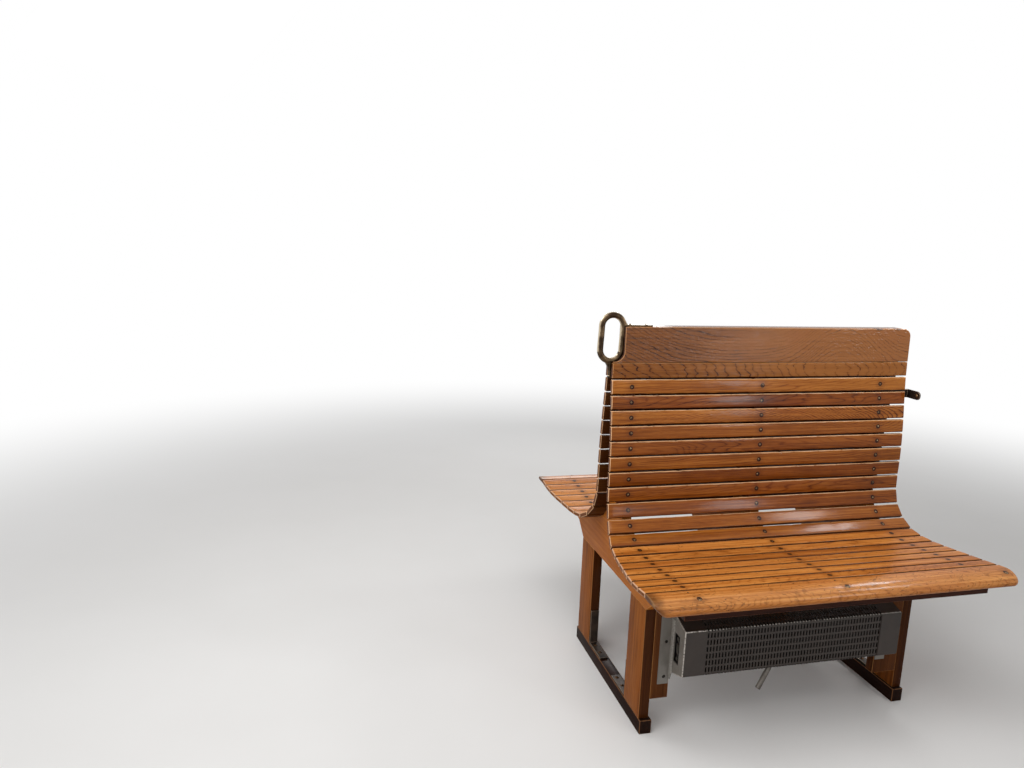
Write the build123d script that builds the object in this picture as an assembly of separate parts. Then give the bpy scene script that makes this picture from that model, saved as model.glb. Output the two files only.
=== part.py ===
from build123d import *
import math
import os

# Frame: origin on the floor under the middle of the whole bench, +Z up.
# The front seat looks along -Y, the aisle end is at -X, the wall end at +X.
# Front pieces are built first and mirrored through the plane between the two backs.
# X is measured from the middle of the back slats and moved by ORIGIN_X on saving.

HALF_LEN = 440.0            # back slats, half of their length
SEAT_Z = 440.5              # lowest gap line of the seat above the floor
TOP_H = 92.0                # top board of the back
TOP_DIST = 22.0             # its upper edge from the middle plane
SLAT_T = 12.0               # back and seat slats, thickness
GAP = 4.0                   # clear gap between slats
GROOVE = 1.4                # thin joint between the top board and the board under it
ARRIS = 2.0                 # bevel on the slats' shown edges

# Gap lines of one seat from the top edge down and forward:
# (distance from the middle plane, height above SEAT_Z, aisle overhang, wall overhang)
BACK_LINES = [
    (24.0, 459.5, 0.0, 0.0),
    (25.5, 418.5, 0.0, 0.0),
    (28.5, 377.5, 0.0, 0.0),
    (33.0, 339.0, 0.0, 0.0),
    (37.5, 299.0, 0.0, 0.0),
    (41.0, 259.0, 0.0, 0.0),
    (43.5, 218.5, 0.0, 0.0),
    (44.5, 177.5, 0.0, 0.0),
    (44.8, 137.0, 0.0, -1.0),
    (47.0, 96.5, 0.0, -2.0),
    (60.0, 57.0, 2.0, -3.0),
    (87.0, 26.5, 8.0, -3.0),
    (122.5, 7.0, 14.5, -3.0),
]
SEAT_LINES = [
    (122.5, 7.0, 14.5, -3.0),
    (161.5, 0.5, 19.0, -2.0),
    (201.0, 0.0, 24.0, 0.0),
    (241.0, 3.0, 30.5, 1.0),
    (281.0, 7.0, 38.0, 2.5),
    (320.0, 11.0, 43.0, 3.5),
    (359.0, 15.0, 45.0, 5.0),
    (398.0, 19.0, 44.5, 7.0),
]

NOSE_W = 58.0
NOSE_T = 34.0
NOSE_AISLE = 44.0           # nosing past the back slats' ends
NOSE_WALL = 12.0
NOSE_CORNER = 24.0
NOSE_TOP_R = 13.0
NOSE_LOW = 6.0              # bevel under the nosing

CUT_LEN = 30.0              # hand cut-out in the top boards at the aisle end
CUT_LAND = 3.0              # wood left under it
CUT_R = 26.0
CORE_SET = 41.0             # the core stops short of the handle's inner side
TOP_WALL_R = 22.0

RIB_T = 27.0
RIB_SET = {"aisle": 53.5, "wall": 84.0}     # ribs in from the slats' ends
RIB_MIDDLE = -13.0
JOINT_UP = 79.5             # bearer below, upright above
BEARER_DEEP = 110.5         # lower edge of the seat bearers below SEAT_Z
BEARER_KNEE = 233.0         # where that edge starts to rise
BEARER_RISE = (63.0, 39.0)  # run and rise from the knee
RAIL_SET = 33.0             # rail behind the nosing's front
RAIL_T = 22.0
RAIL_H = 25.5
RAIL_SHORT = 40.0           # rail ends in from the slats' ends

LEG_IN = 136.0
LEG_OUT = 233.0
SILL_H = 37.0
SILL_W = 32.0
SILL_PAST = 10.0

RING_SET = 2.0              # middle of the ring in from the slats' ends
RING_DROP = 27.0            # middle of the ring below the top edge
RING_R = 30.0
RING_STRAIGHT = 26.0
ROD_R = 7.0
ROD_SIDES = 16              # flat sides of the ring's rod and stem
STRAP_T = 4.0
STRAP_W = 18.0
STRAP_LEN = 108.0
STRAP_END_R = 6.0
WEB_T = 10.0                # webs that join the ring to its strap and its stem
WEB_R = 9.0
STEM_PAST = 1.0             # foot of the stem below the plain board's lower gap
STEM_R_LOW = 5.0
STEM_R_TOP = 6.5
COLLAR_R = 7.0
COLLAR_H = 6.0
TANG_H = 24.0
TANG_W = 9.0

WALL_GAP = 25.0             # car's side panelling past the slats' wall ends
PLATE_T = 4.0
PLATE_Y = (-61.0, -10.0)
PLATE_SET = (-22.0, 2.0)    # lower and upper edge from the second slat gap
PLATE_END_R = 11.0
PLATE_FOOT_Y = 12.0
PLATE_HOLE_IN = 13.0
PLATE_HOLE_R = 3.0

ANGLE_W = 24.0
ANGLE_T = 5.0
ANGLE_LONG = 92.0
ANGLE_TALL = 104.0

HEAT_SET = (45.0, 69.5)     # heater casing's ends in from the aisle and wall legs
HEAT_DEPTH = 70.0
HEAT_BACK = (170.0, 8.0)    # casing's low and high edges below the bearers
HEAT_FRONT = (146.0, 29.0)
HEAT_LIP = (10.0, 18.0, 186.0, 165.0)   # aisle end: two widths, two depths below the bearers
SHEET = 2.0
FLANGE_W = 29.0
FLANGE_DEEP = (202.0, 8.0)
BLOCK_T = 25.0
BLOCK_PAST = 2.0            # the mounting blocks reach a little behind the casing
BLOCK_DEEP = (242.0, 4.0)
SLOT = (3.5, 11.5)          # openings of the casing's front
SLOT_PITCH = (8.4, 17.8)
SLOT_MARGIN = (61.0, 11.0)
PORT_IN = (19.0, 42.0)      # opening in the casing's aisle end, from the legs' front
PORT_DEEP = (127.0, 57.0)
STRIP_W = 14.0
STRIP_PAST = 8.0
STRIP_FOOT = 4.0
STRIP_OUT = 12.0
STRIP_CLEAR = 2.0
ELEMENT_IN = 29.0
ELEMENT_R = 9.0
STUB_FROM = (79.0, 29.0, 227.0)     # low end: from the middle rib, the legs' front and the bearers
STUB_RUN = (45.0, 8.0, 79.0)
STUB_R = 4.5

back_lines = [(dist, SEAT_Z + up, aisle, wall) for dist, up, aisle, wall in BACK_LINES]
seat_lines = [(dist, SEAT_Z + up, aisle, wall) for dist, up, aisle, wall in SEAT_LINES]
top_z = back_lines[0][1] + TOP_H
top_edge = (TOP_DIST, top_z, 0.0, 0.0)
cut_z = back_lines[0][1] + CUT_LAND
joint_z = SEAT_Z + JOINT_UP
bearer_z = SEAT_Z - BEARER_DEEP
wall_x = HALF_LEN + WALL_GAP
aisle_past = max(line[2] for line in seat_lines)
ORIGIN_X = (HALF_LEN + aisle_past - wall_x) / 2
rib_x = {"aisle": RIB_SET["aisle"] - HALF_LEN, "middle": RIB_MIDDLE, "wall": HALF_LEN - RIB_SET["wall"]}

os.makedirs("parts", exist_ok=True)


def save(name, solids):
    shape = solids[0] if len(solids) == 1 else Compound(children=list(solids))
    export_step(shape.moved(Location((ORIGIN_X, 0, 0))), f"parts/{name}.step")


def mirrored(solid):
    return solid.mirror(Plane.XZ)


def block(x0, x1, y0, y1, z0, z1):
    centre = Location(((x0 + x1) / 2, (y0 + y1) / 2, (z0 + z1) / 2))
    return centre * Box(abs(x1 - x0), abs(y1 - y0), abs(z1 - z0))


def side_plate(points, x_mid, thick):
    # a flat board standing in the plane across the car: points are (y, z)
    face = Plane.YZ * make_face(Polyline(*points, close=True))
    return Location((x_mid - thick / 2, 0, 0)) * extrude(face, thick)


def slat(upper, lower, gap_up, gap_low):
    # a board between two gap lines of the front seat, upper side on the chord
    y0, z0, aisle0, wall0 = -upper[0], upper[1], upper[2], upper[3]
    y1, z1, aisle1, wall1 = -lower[0], lower[1], lower[2], lower[3]
    run = math.hypot(y1 - y0, z1 - z0)
    dy = (y1 - y0) / run
    dz = (z1 - z0) / run
    plane = Plane(origin=(0, y0, z0), x_dir=(1, 0, 0), z_dir=(0, dz, -dy))
    near = -gap_up / 2
    far = gap_low / 2 - run
    corners = [
        (-HALF_LEN - aisle0, near),
        (HALF_LEN + wall0, near),
        (HALF_LEN + wall1, far),
        (-HALF_LEN - aisle1, far),
    ]
    face = plane * make_face(Polyline(*corners, close=True))
    board = extrude(face, SLAT_T, dir=-plane.z_dir)
    shown = board.faces().sort_by(Axis(origin=(0, y0, z0), direction=plane.z_dir))[-1]
    return chamfer(shown.edges(), ARRIS)


def under_line(lines):
    # the underside of the slats as points (distance, height), offset from the chords
    segs = []
    for p, q in zip(lines[:-1], lines[1:]):
        run = math.hypot(q[0] - p[0], q[1] - p[1])
        ny, nz = (q[1] - p[1]) / run, -(q[0] - p[0]) / run
        segs.append(((p[0] + ny * SLAT_T, p[1] + nz * SLAT_T), (q[0] + ny * SLAT_T, q[1] + nz * SLAT_T)))
    points = [segs[0][0]]
    for (a, b), (c, d) in zip(segs[:-1], segs[1:]):
        r = (b[0] - a[0], b[1] - a[1])
        s = (d[0] - c[0], d[1] - c[1])
        cross = r[0] * s[1] - r[1] * s[0]
        if abs(cross) < 1e-6:
            points.append(b)
            continue
        t = ((c[0] - a[0]) * s[1] - (c[1] - a[1]) * s[0]) / cross
        points.append((a[0] + r[0] * t, a[1] + r[1] * t))
    points.append(segs[-1][1])
    return points


def at_height(points, z):
    # distance of the underside from the middle plane at a height on the back
    p, q = next((p, q) for p, q in zip(points[:-1], points[1:]) if z >= q[1])
    return p[0] + (q[0] - p[0]) * (p[1] - z) / (p[1] - q[1])


back_slats = [slat(p, q, GAP, GAP) for p, q in zip(back_lines[1:-1], back_lines[2:])]
band_board = slat(back_lines[0], back_lines[1], GROOVE, GAP)
seat_slats = [slat(p, q, GAP, GAP) for p, q in zip(seat_lines[:-1], seat_lines[1:])]
save("back_slats_front", back_slats)
save("back_slats_rear", [mirrored(s) for s in back_slats])
save("seat_slats_front", seat_slats)
save("seat_slats_rear", [mirrored(s) for s in seat_slats])
save("band_boards", [band_board, mirrored(band_board)])

top_board = slat(top_edge, back_lines[0], 0.0, GROOVE)
reach = top_edge[0] + 2 * SLAT_T
cutter = block(-HALF_LEN - CUT_LEN, -HALF_LEN + CUT_LEN, -reach, reach, cut_z, top_z + TOP_H)
cutter = fillet(cutter.edges().filter_by(Axis.Y).sort_by(Axis.Z)[:2].sort_by(Axis.X)[-1], CUT_R)
corner_x = HALF_LEN - TOP_WALL_R
corner_z = top_z - TOP_WALL_R
wall_corner = block(corner_x, HALF_LEN + TOP_WALL_R, -reach, reach, corner_z, top_z + TOP_WALL_R)
wall_corner -= Location((corner_x, 0, corner_z)) * (
    Rotation(90, 0, 0) * Cylinder(TOP_WALL_R, 2 * reach))
top_board = top_board - cutter - wall_corner
save("top_boards", [top_board.solid(), mirrored(top_board.solid())])

under = under_line([top_edge] + back_lines + seat_lines[1:])
core_low = at_height(under, cut_z)
core_top = at_height(under, top_z)
core = side_plate(
    [(-core_low, cut_z), (core_low, cut_z), (core_top, top_z), (-core_top, top_z)],
    CORE_SET / 2, 2 * HALF_LEN - CORE_SET)
core -= wall_corner
save("top_core", [core.solid()])

nose_back = seat_lines[-1][0] + GAP / 2
nose_front = nose_back + NOSE_W
nose_top = seat_lines[-1][1]
nose_low = nose_top - NOSE_T
rail_front = nose_front - RAIL_SET
rail_back = rail_front - RAIL_T
rail_low = nose_low - RAIL_H
knee_front = (BEARER_KNEE + BEARER_RISE[0], bearer_z + BEARER_RISE[1])
for side, x in rib_x.items():
    front = [(-at_height(under, cut_z), cut_z)]
    front += [(-y, z) for y, z in under if joint_z < z < cut_z]
    front += [(-at_height(under, joint_z), joint_z)]
    upright = side_plate(front + [(-y, z) for y, z in reversed(front)], x, RIB_T)
    save(f"upright_{side}", [upright.solid()])
    curve = [(y, z) for y, z in under if z < joint_z]
    half = [(at_height(under, joint_z), joint_z)] + curve
    half += [(nose_back, curve[-1][1]), (nose_back, nose_low), (rail_back, nose_low), (rail_back, rail_low)]
    half += [knee_front, (BEARER_KNEE, bearer_z)]
    outline = half + [(-y, z) for y, z in reversed(half)]
    save(f"bearer_{side}", [side_plate(outline, x, RIB_T).solid()])

rail_end = HALF_LEN - RAIL_SHORT
rail = block(-rail_end, rail_end, -rail_front, -rail_back, rail_low, nose_low)
save("nose_rails", [rail, mirrored(rail)])

nose = block(-HALF_LEN - NOSE_AISLE, HALF_LEN + NOSE_WALL, -nose_front, -nose_back, nose_low, nose_top)
nose = fillet(nose.edges().filter_by(Axis.Z).sort_by(Axis.Y)[:2], NOSE_CORNER)
nose = fillet(nose.faces().sort_by(Axis.Z)[-1].edges().sort_by(Axis.Y)[:-1], NOSE_TOP_R)
nose = chamfer(nose.faces().sort_by(Axis.Z)[0].edges().sort_by(Axis.Y)[:-1], NOSE_LOW)
save("nosing_front", [nose.solid()])
save("nosing_rear", [mirrored(nose.solid())])

sill_half = LEG_OUT + SILL_PAST
for side in ("aisle", "wall"):
    x = rib_x[side]
    leg = block(x - RIB_T / 2, x + RIB_T / 2, -LEG_OUT, -LEG_IN, SILL_H, bearer_z)
    save(f"legs_{side}", [leg, mirrored(leg)])
    sill_x0 = x - RIB_T / 2 if side == "aisle" else x + RIB_T / 2 - SILL_W
    save(f"sill_{side}", [block(sill_x0, sill_x0 + SILL_W, -sill_half, sill_half, 0, SILL_H)])
    foot = block(x - ANGLE_W / 2, x + ANGLE_W / 2, -LEG_IN, -LEG_IN + ANGLE_LONG, SILL_H, SILL_H + ANGLE_T)
    foot += block(x - ANGLE_W / 2, x + ANGLE_W / 2, -LEG_IN, -LEG_IN + ANGLE_T, SILL_H, SILL_H + ANGLE_TALL)
    save(f"foot_angles_{side}", [foot.solid(), mirrored(foot.solid())])

# Handle, drawn about the middle of its ring and facing the front seat
path = Plane.XZ * SlotCenterToCenter(2 * RING_STRAIGHT, 2 * RING_R, rotation=90).face().outer_wire()
section = Plane(origin=path @ 0, z_dir=path % 0) * RegularPolygon(ROD_R, ROD_SIDES)
handle = sweep(section, path=path)
arc_z = RING_STRAIGHT
ring_low = -arc_z - RING_R
ring_z = top_z - RING_DROP
foot_z = back_lines[1][1] - STEM_PAST - ring_z
strap_z = RING_DROP + STRAP_T
ring_out = RING_R + ROD_R
web_x = math.sqrt(ring_out ** 2 - (strap_z + WEB_R - arc_z) ** 2)
strap_web = [
    Line((RING_R, RING_DROP), (web_x + WEB_R, RING_DROP)),
    Line((web_x + WEB_R, RING_DROP), (web_x + WEB_R, strap_z)),
    RadiusArc((web_x + WEB_R, strap_z), (web_x, strap_z + WEB_R), WEB_R),
    Line((web_x, strap_z + WEB_R), (RING_R, RING_DROP)),
]
web_low = ring_low - ROD_R - WEB_R
stem_web = Polyline(
    (-2 * ROD_R, ring_low), (2 * ROD_R, ring_low), (STEM_R_TOP, web_low), (-STEM_R_TOP, web_low), close=True)
for outline in (strap_web, stem_web):
    handle += extrude(Plane.XZ * make_face(outline), WEB_T / 2, both=True)
foot = Plane.XY.offset(foot_z)
spread = math.degrees(math.atan((STEM_R_TOP - STEM_R_LOW) / (ring_low - foot_z)))
handle += extrude(foot * RegularPolygon(STEM_R_LOW, ROD_SIDES), ring_low - foot_z, taper=-spread)
handle += extrude(foot * RegularPolygon(COLLAR_R, ROD_SIDES), COLLAR_H)
rib_face = rib_x["aisle"] - RIB_T / 2
ring_x = RING_SET - HALF_LEN
tang_z = foot_z + COLLAR_H
handle += block(0, rib_face - ring_x, -TANG_W / 2, TANG_W / 2, tang_z, tang_z + TANG_H)
strap = block(RING_R, STRAP_LEN, -STRAP_W / 2, STRAP_W / 2, RING_DROP, strap_z)
handle += fillet(strap.edges().filter_by(Axis.Z), STRAP_END_R)
save("grab_handle", [(Location((ring_x, 0, ring_z)) * handle).solid()])

wall_rib_face = rib_x["wall"] + RIB_T / 2
plate_z = (back_lines[2][1] + PLATE_SET[0], back_lines[2][1] + PLATE_SET[1])
bracket = block(wall_x - PLATE_T, wall_x, *PLATE_Y, *plate_z)
bracket = fillet(bracket.edges().filter_by(Axis.X).sort_by(Axis.Y)[:2], PLATE_END_R)
bracket += block(wall_rib_face, wall_x, PLATE_Y[1] - PLATE_T, PLATE_Y[1], *plate_z)
bracket += block(wall_rib_face, wall_rib_face + PLATE_T, PLATE_Y[1] - PLATE_T, PLATE_FOOT_Y, *plate_z)
bracket -= Location((wall_x - PLATE_T / 2, PLATE_Y[0] + PLATE_HOLE_IN, sum(plate_z) / 2)) * (
    Rotation(0, 90, 0) * Cylinder(PLATE_HOLE_R, 3 * PLATE_T))
save("wall_bracket", [bracket.solid()])

# Heater: heights are taken down from the bearers, depths forward from the legs
aisle_leg_in = rib_x["aisle"] + RIB_T / 2
wall_leg_in = rib_x["wall"] - RIB_T / 2
heat_x = (aisle_leg_in + HEAT_SET[0], wall_leg_in - HEAT_SET[1])
heat_mid = sum(heat_x) / 2
heat_len = heat_x[1] - heat_x[0]
heat_y = (-LEG_OUT - HEAT_DEPTH, -LEG_OUT)
back_z = (bearer_z - HEAT_BACK[0], bearer_z - HEAT_BACK[1])
front_z = (bearer_z - HEAT_FRONT[0], bearer_z - HEAT_FRONT[1])
block_z = (bearer_z - BLOCK_DEEP[0], bearer_z - BLOCK_DEEP[1])
flange_z = (bearer_z - FLANGE_DEEP[0], bearer_z - FLANGE_DEEP[1])
port_z = (bearer_z - PORT_DEEP[0], bearer_z - PORT_DEEP[1])
port_y = (-LEG_OUT - PORT_IN[1], -LEG_OUT - PORT_IN[0])
block_y = (-LEG_OUT, -LEG_OUT + BLOCK_T)
save("heater_blocks", [
    block(aisle_leg_in, heat_x[0] + BLOCK_PAST, *block_y, *block_z),
    block(heat_x[1] - BLOCK_PAST, wall_leg_in, *block_y, *block_z),
])
case = [(heat_y[1], back_z[0]), (heat_y[0], front_z[0]), (heat_y[0], front_z[1]), (heat_y[1], back_z[1])]
casing = side_plate(case, heat_mid, heat_len)
hollow = offset(Plane.YZ * make_face(Polyline(*case, close=True)), -SHEET)
casing -= Location((heat_x[0] + SHEET, 0, 0)) * extrude(hollow, heat_len - 2 * SHEET)
casing -= block(*heat_x, heat_y[0], heat_y[0] + SHEET, *front_z)
casing -= block(heat_x[0] - SHEET, heat_x[0] + 2 * SHEET, *port_y, *port_z)
lip_z = (bearer_z - HEAT_LIP[2], bearer_z - HEAT_LIP[3])
casing += side_plate(
    [(heat_y[1], lip_z[0]), (heat_y[1] - HEAT_LIP[0], lip_z[0]), (heat_y[1] - HEAT_LIP[1], lip_z[1]),
     (heat_y[1] - HEAT_LIP[1], back_z[1] - HEAT_LIP[1]), (heat_y[1], back_z[1] - HEAT_LIP[1])],
    heat_x[0] + SHEET / 2, SHEET)
flange_y = (-LEG_OUT - SHEET, -LEG_OUT)
casing += block(heat_x[0] - FLANGE_W, heat_x[0], *flange_y, *flange_z)
casing += block(heat_x[1], heat_x[1] + FLANGE_W, *flange_y, *flange_z)
save("heater_casing", [casing.solid()])

slot_cols = 1 + round((heat_len - 2 * SLOT_MARGIN[0]) / SLOT_PITCH[0])
slot_rows = 1 + int((front_z[1] - front_z[0] - 2 * SLOT_MARGIN[1]) / SLOT_PITCH[1])
slotted = Rectangle(heat_len, front_z[1] - front_z[0])
slotted -= GridLocations(*SLOT_PITCH, slot_cols, slot_rows) * Rectangle(*SLOT)
front_plane = Plane(origin=(heat_mid, heat_y[0], sum(front_z) / 2), x_dir=(1, 0, 0), z_dir=(0, -1, 0))
save("heater_grille", [extrude(front_plane * slotted, -SHEET).solid()])

inner = heat_x[0] + SHEET
element_x = (inner + STRIP_OUT, heat_x[1] - SHEET)
port_mid = (sum(port_y) / 2, sum(port_z) / 2)
element = Location((sum(element_x) / 2, -LEG_OUT - ELEMENT_IN, port_mid[1])) * (
    Rotation(0, 90, 0) * Cylinder(ELEMENT_R, element_x[1] - element_x[0]))
save("heater_element", [element.solid()])

strip_z = (port_z[0] - STRIP_PAST, port_z[1] + STRIP_PAST)
strip_y = (port_mid[0] - STRIP_W / 2, port_mid[0] + STRIP_W / 2)
strip = block(inner + STRIP_FOOT, inner + STRIP_OUT, *strip_y, *strip_z)
strip += block(inner, inner + STRIP_FOOT, *strip_y, strip_z[0], port_z[0] - STRIP_CLEAR)
strip += block(inner, inner + STRIP_FOOT, *strip_y, port_z[1] + STRIP_CLEAR, strip_z[1])
save("heater_terminal", [strip.solid()])

low = Vector(RIB_MIDDLE - STUB_FROM[0], -LEG_OUT - STUB_FROM[1], bearer_z - STUB_FROM[2])
run = Vector(*STUB_RUN)
stub = extrude(Plane(origin=low, z_dir=run) * Circle(STUB_R), run.length)
stub -= side_plate(case, heat_mid, heat_len)
save("heater_stub", [stub.solid()])
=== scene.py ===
import math
import random

import bmesh
import bpy
import numpy as np
from mathutils import Matrix, Vector


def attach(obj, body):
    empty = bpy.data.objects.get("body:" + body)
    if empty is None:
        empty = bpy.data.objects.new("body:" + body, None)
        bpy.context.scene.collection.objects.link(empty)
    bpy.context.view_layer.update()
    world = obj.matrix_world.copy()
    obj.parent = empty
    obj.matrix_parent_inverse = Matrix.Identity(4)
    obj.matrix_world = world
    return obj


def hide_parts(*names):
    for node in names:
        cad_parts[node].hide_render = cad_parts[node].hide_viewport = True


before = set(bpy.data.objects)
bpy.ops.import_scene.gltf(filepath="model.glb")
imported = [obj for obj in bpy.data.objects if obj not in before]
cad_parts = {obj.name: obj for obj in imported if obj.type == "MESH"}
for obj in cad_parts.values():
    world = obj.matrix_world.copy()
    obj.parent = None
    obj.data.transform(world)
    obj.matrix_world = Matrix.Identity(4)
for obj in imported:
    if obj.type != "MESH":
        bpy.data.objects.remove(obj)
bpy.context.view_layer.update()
MM = 0.001

# ---- Sizes of the bench, in millimetres ----
AISLE_X = -430.0
WALL_X = 450.0
SLAT_T = 12.0
GAP = 4.0
GROOVE = 1.4
# gap lines: distance from the middle plane, height, aisle overhang, wall overhang
TOP_EDGE = (22.0, 992.0, 0.0, 0.0)
BACK_LINES = [
    (24.0, 900.0, 0.0, 0.0),
    (25.5, 859.0, 0.0, 0.0),
    (28.5, 818.0, 0.0, 0.0),
    (33.0, 779.5, 0.0, 0.0),
    (37.5, 739.5, 0.0, 0.0),
    (41.0, 699.5, 0.0, 0.0),
    (43.5, 659.0, 0.0, 0.0),
    (44.5, 618.0, 0.0, 0.0),
    (44.8, 577.5, 0.0, -1.0),
    (47.0, 537.0, 0.0, -2.0),
    (60.0, 497.5, 2.0, -3.0),
    (87.0, 467.0, 8.0, -3.0),
    (122.5, 447.5, 14.5, -3.0),
]
SEAT_LINES = [
    (122.5, 447.5, 14.5, -3.0),
    (161.5, 441.0, 19.0, -2.0),
    (201.0, 440.5, 24.0, 0.0),
    (241.0, 443.5, 30.5, 1.0),
    (281.0, 447.5, 38.0, 2.5),
    (320.0, 451.5, 43.0, 3.5),
    (359.0, 455.5, 45.0, 5.0),
    (398.0, 459.5, 44.5, 7.0),
]
CUT_Z = 903.0
CUT_DEEP = 30.0
CUT_R = 26.0
TOP_R = 22.0
SCREW_X = (-376.0, -2.0, 366.0)
NOSE_SCREW_X = (-365.0, 2.0, 441.0)
LEG_IN, LEG_OUT = 136.0, 233.0
NOSE_X = (-474.8, 458.5)
NOSE_FLARE = 0.26
NOSE_Y = (400.0, 458.0)
NOSE_Z = (425.5, 459.5)


# ---- Meshes ----
def wave(x, seed, amount, *lengths):
    """A smooth wander along x: a few sines with seeded phases."""
    rng = random.Random(seed)
    total = np.zeros_like(x)
    for length in lengths:
        total += rng.uniform(0.5, 1.0) * np.sin(2 * math.pi * x / length + rng.uniform(0, 6.28))
    return amount * total / len(lengths)


def sin_deg(angle):
    return math.sin(math.radians(angle))


def cos_deg(angle):
    return math.cos(math.radians(angle))


def point_data(mesh, **layers):
    """Vectors on the mesh's points, for the materials to read."""
    for key, values in layers.items():
        layer = mesh.attributes.new(key, "FLOAT_VECTOR", "POINT")
        layer.data.foreach_set("vector", np.asarray(values, np.float32).ravel())


def new_mesh(name, co, faces):
    """A mesh from points in millimetres."""
    mesh = bpy.data.meshes.new(name)
    mesh.from_pydata(np.asarray(co) * MM, [], faces)
    return mesh


def placed(name, data):
    """A new object in the scene."""
    obj = bpy.data.objects.new(name, data)
    bpy.context.scene.collection.objects.link(obj)
    return obj


class Boards:
    """Closed boards joined in one mesh, with the point data that the wood reads:
    loc = place in the board (along, across, deep), brd = (edge: wear and painted highlight above 0, painted
    shade below 0; end; tone), pith = heart of the tree."""

    def __init__(self):
        self.co, self.faces, self.data = [], [], {"loc": [], "brd": [], "pith": []}
        self.count = 0

    def rings(self, co, loc, brd, pith):
        rows, cols = co.shape[:2]
        index = self.count + np.arange(rows * cols).reshape(rows, cols)
        for a, b in zip(index[:-1], index[1:]):
            for j in range(cols):
                k = (j + 1) % cols
                self.faces.append((int(a[j]), int(a[k]), int(b[k]), int(b[j])))
        self.faces.append([int(i) for i in index[0][::-1]])
        self.faces.append([int(i) for i in index[-1]])
        self.co.append(co.reshape(-1, 3))
        self.data["loc"].append(loc.reshape(-1, 3) * MM)
        self.data["brd"].append(brd.reshape(-1, 3))
        self.data["pith"].append(np.tile(pith, (rows * cols, 1)))
        self.count += rows * cols

    def make(self, name, material, slot, *nodes):
        mesh = new_mesh(name, np.concatenate(self.co), self.faces)
        point_data(mesh, **{key: np.concatenate(values) for key, values in self.data.items()})
        return finished(name, mesh, material, nodes)


def finished(name, mesh, material, nodes, sharp=38.0):
    """A piece of the visual model: faces turned out, shaded, with its material, body and CAD nodes."""
    bm = bmesh.new()
    bm.from_mesh(mesh)
    bmesh.ops.recalc_face_normals(bm, faces=bm.faces)
    bmesh.ops.triangulate(bm, faces=[f for f in bm.faces if len(f.verts) > 4], ngon_method="BEAUTY")
    bm.to_mesh(mesh)
    bm.free()
    mesh.shade_smooth()
    mesh.set_sharp_from_angle(angle=math.radians(sharp))
    mesh.materials.clear()
    mesh.materials.append(material)
    obj = placed(name, mesh)
    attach(obj, "root")
    if nodes:
        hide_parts(*nodes)
    return obj


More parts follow.
